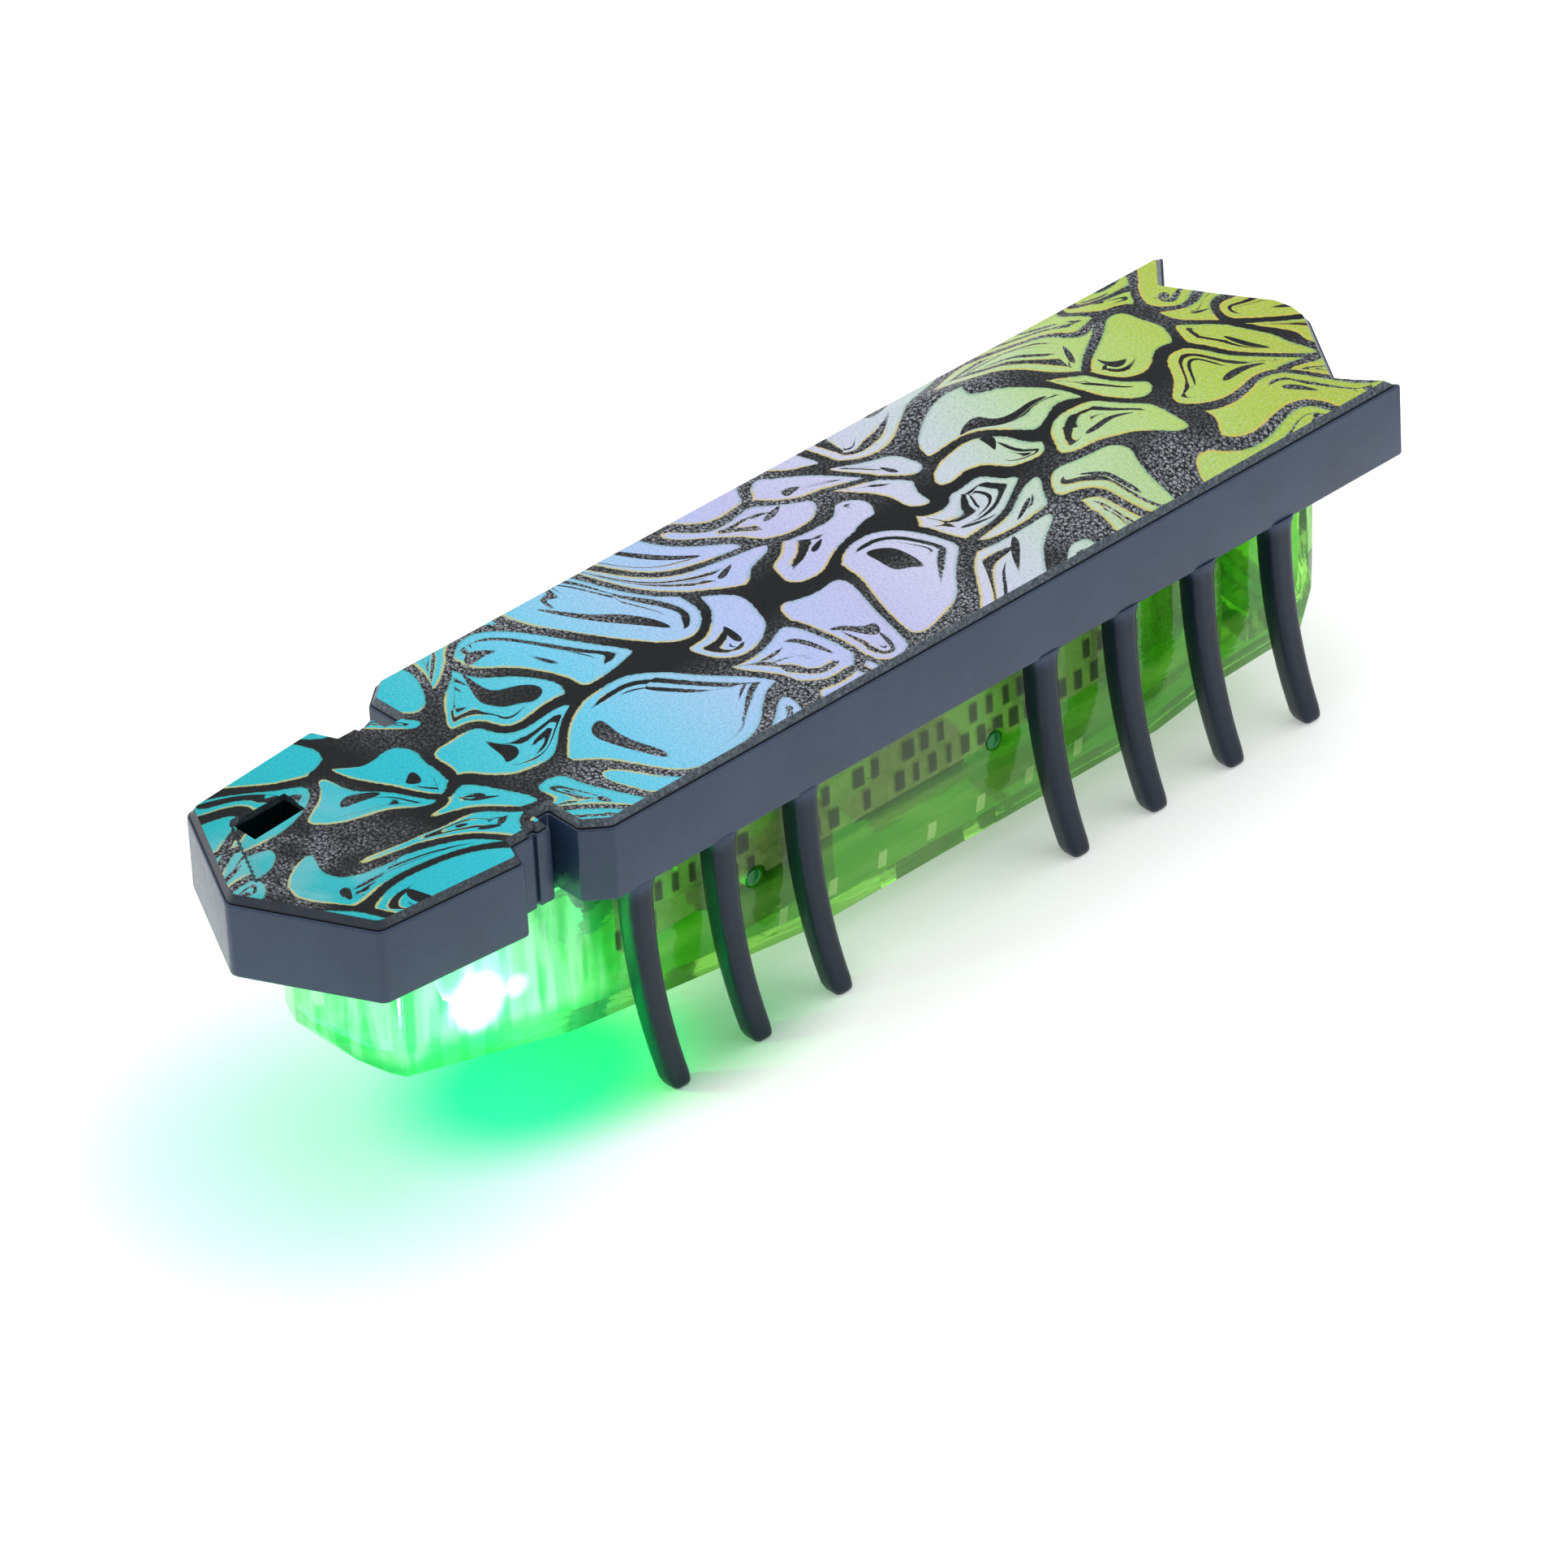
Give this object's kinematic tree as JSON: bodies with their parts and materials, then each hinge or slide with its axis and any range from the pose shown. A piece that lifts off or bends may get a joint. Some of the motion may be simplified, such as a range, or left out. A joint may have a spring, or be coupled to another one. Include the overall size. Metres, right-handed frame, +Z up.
{
  "type": "vibration-driven bug robot",
  "caption": "Small vibration-driven toy robot with curved rubber legs, a printed flat back, a clear belly housing and a lit nose.",
  "frame": {"origin": "on the ground plane under the middle of the object, at the height of the leg tips", "axes": "+Z up, -Y towards the nose, +X towards the robot's left as it walks away from the tail (the side the picture shows)"},
  "size_m": [0.014, 0.0556, 0.0148],
  "materials": {
    "printed_cover": "black leather-grain film with a marbled print that runs from teal at the nose through lavender to yellow-green at the tail",
    "rubber": "satin moulded elastomer, blue-grey",
    "clear_green": "clear tinted polycarbonate, polished",
    "green_pin": "moulded, glossy",
    "label": "thin blank film label seen against the clear housing",
    "steel": "plated steel",
    "brass": "bright",
    "board": "green solder mask",
    "black_plastic": "moulded, satin",
    "white_plastic": "moulded, satin",
    "ceramic": "ceramic chip",
    "led_epoxy": "clear epoxy lens, lit",
    "red_wire": "insulated wire",
    "blue_wire": "insulated wire"
  },
  "bodies": {
    "shell": {"printed_top_cover": "printed_cover", "rubber_deck": "rubber", "housing_tub": "clear_green", "housing_lid": "clear_green", "latch_pin_1": "green_pin", "latch_pin_2": "green_pin", "latch_pin_3": "green_pin", "latch_pin_4": "green_pin", "side_label_right": "label", "side_label_left": "label", "motor_can": "steel", "motor_end_cap": "white_plastic", "motor_cradle": "rubber", "circuit_board": "board", "control_chip": "black_plastic", "chip_resistor": "black_plastic", "chip_capacitor": "ceramic", "led_body": "led_epoxy", "led_lead_1": "steel", "led_lead_2": "steel", "motor_wire_red": "red_wire", "motor_wire_blue": "blue_wire", "switch_body": "black_plastic", "switch_terminals": "brass", "battery_contact_positive": "steel", "battery_contact_negative": "brass"},
    "rotor": {"motor_shaft": "steel", "eccentric_weight": "steel"},
    "slider": {"switch_slider": "black_plastic"},
    "door": {"battery_door": "clear_green"},
    "screw": {"door_screw": "steel"},
    "cell": {"button_cell": "steel"},
    "leg_right_1": {"leg_right_1": "rubber"},
    "leg_right_2": {"leg_right_2": "rubber"},
    "leg_right_3": {"leg_right_3": "rubber"},
    "leg_right_4": {"leg_right_4": "rubber"},
    "leg_right_5": {"leg_right_5": "rubber"},
    "leg_right_6": {"leg_right_6": "rubber"},
    "leg_right_7": {"leg_right_7": "rubber"},
    "leg_left_1": {"leg_left_1": "rubber"},
    "leg_left_2": {"leg_left_2": "rubber"},
    "leg_left_3": {"leg_left_3": "rubber"},
    "leg_left_4": {"leg_left_4": "rubber"},
    "leg_left_5": {"leg_left_5": "rubber"},
    "leg_left_6": {"leg_left_6": "rubber"},
    "leg_left_7": {"leg_left_7": "rubber"}
  },
  "joints": [
    {"name": "rotor_spin", "type": "hinge", "parent": "shell", "child": "rotor", "pos_m": [0, -0.009, 0.0064], "axis": [0, 1, 0], "continuous": true},
    {"name": "switch_slide", "type": "slide", "parent": "shell", "child": "slider", "axis": [0, 1, 0], "range_m": [0, 0.0016]},
    {"name": "door_hinge", "type": "hinge", "parent": "shell", "child": "door", "pos_m": [0, 0.00775, 0.00183], "axis": [-1, 0, 0], "range_deg": [0, 96]},
    {"name": "screw_turn", "type": "hinge", "parent": "door", "child": "screw", "pos_m": [0, 0.0214, 0.0025], "axis": [0, 0, 1], "continuous": true},
    {"name": "cell_slide", "type": "slide", "parent": "shell", "child": "cell", "axis": [0, 0, -1], "range_m": [0, 0.0067]},
    {"name": "leg_right_1_flex", "type": "hinge", "parent": "shell", "child": "leg_right_1", "pos_m": [0.0062, -0.01324, 0.00945], "axis": [1, 0, 0], "range_deg": [-8, 8], "stiffness_Nm_per_rad": 0.001},
    {"name": "leg_right_2_flex", "type": "hinge", "parent": "shell", "child": "leg_right_2", "pos_m": [0.0062, -0.00904, 0.00945], "axis": [1, 0, 0], "range_deg": [-8, 8], "stiffness_Nm_per_rad": 0.001},
    {"name": "leg_right_3_flex", "type": "hinge", "parent": "shell", "child": "leg_right_3", "pos_m": [0.0062, -0.00484, 0.00945], "axis": [1, 0, 0], "range_deg": [-8, 8], "stiffness_Nm_per_rad": 0.001},
    {"name": "leg_right_4_flex", "type": "hinge", "parent": "shell", "child": "leg_right_4", "pos_m": [0.0062, 0.00776, 0.00945], "axis": [1, 0, 0], "range_deg": [-8, 8], "stiffness_Nm_per_rad": 0.001},
    {"name": "leg_right_5_flex", "type": "hinge", "parent": "shell", "child": "leg_right_5", "pos_m": [0.0062, 0.01196, 0.00945], "axis": [1, 0, 0], "range_deg": [-8, 8], "stiffness_Nm_per_rad": 0.001},
    {"name": "leg_right_6_flex", "type": "hinge", "parent": "shell", "child": "leg_right_6", "pos_m": [0.0062, 0.01616, 0.00945], "axis": [1, 0, 0], "range_deg": [-8, 8], "stiffness_Nm_per_rad": 0.001},
    {"name": "leg_right_7_flex", "type": "hinge", "parent": "shell", "child": "leg_right_7", "pos_m": [0.0062, 0.02036, 0.00945], "axis": [1, 0, 0], "range_deg": [-8, 8], "stiffness_Nm_per_rad": 0.001},
    {"name": "leg_left_1_flex", "type": "hinge", "parent": "shell", "child": "leg_left_1", "pos_m": [-0.0062, -0.01324, 0.00945], "axis": [1, 0, 0], "range_deg": [-8, 8], "stiffness_Nm_per_rad": 0.001},
    {"name": "leg_left_2_flex", "type": "hinge", "parent": "shell", "child": "leg_left_2", "pos_m": [-0.0062, -0.00904, 0.00945], "axis": [1, 0, 0], "range_deg": [-8, 8], "stiffness_Nm_per_rad": 0.001},
    {"name": "leg_left_3_flex", "type": "hinge", "parent": "shell", "child": "leg_left_3", "pos_m": [-0.0062, -0.00484, 0.00945], "axis": [1, 0, 0], "range_deg": [-8, 8], "stiffness_Nm_per_rad": 0.001},
    {"name": "leg_left_4_flex", "type": "hinge", "parent": "shell", "child": "leg_left_4", "pos_m": [-0.0062, 0.00776, 0.00945], "axis": [1, 0, 0], "range_deg": [-8, 8], "stiffness_Nm_per_rad": 0.001},
    {"name": "leg_left_5_flex", "type": "hinge", "parent": "shell", "child": "leg_left_5", "pos_m": [-0.0062, 0.01196, 0.00945], "axis": [1, 0, 0], "range_deg": [-8, 8], "stiffness_Nm_per_rad": 0.001},
    {"name": "leg_left_6_flex", "type": "hinge", "parent": "shell", "child": "leg_left_6", "pos_m": [-0.0062, 0.01616, 0.00945], "axis": [1, 0, 0], "range_deg": [-8, 8], "stiffness_Nm_per_rad": 0.001},
    {"name": "leg_left_7_flex", "type": "hinge", "parent": "shell", "child": "leg_left_7", "pos_m": [-0.0062, 0.02036, 0.00945], "axis": [1, 0, 0], "range_deg": [-8, 8], "stiffness_Nm_per_rad": 0.001}
  ],
  "couplings": [
    {"joint": "door_hinge", "follows": "cell_slide", "rad_per_m": 250}
  ]
}
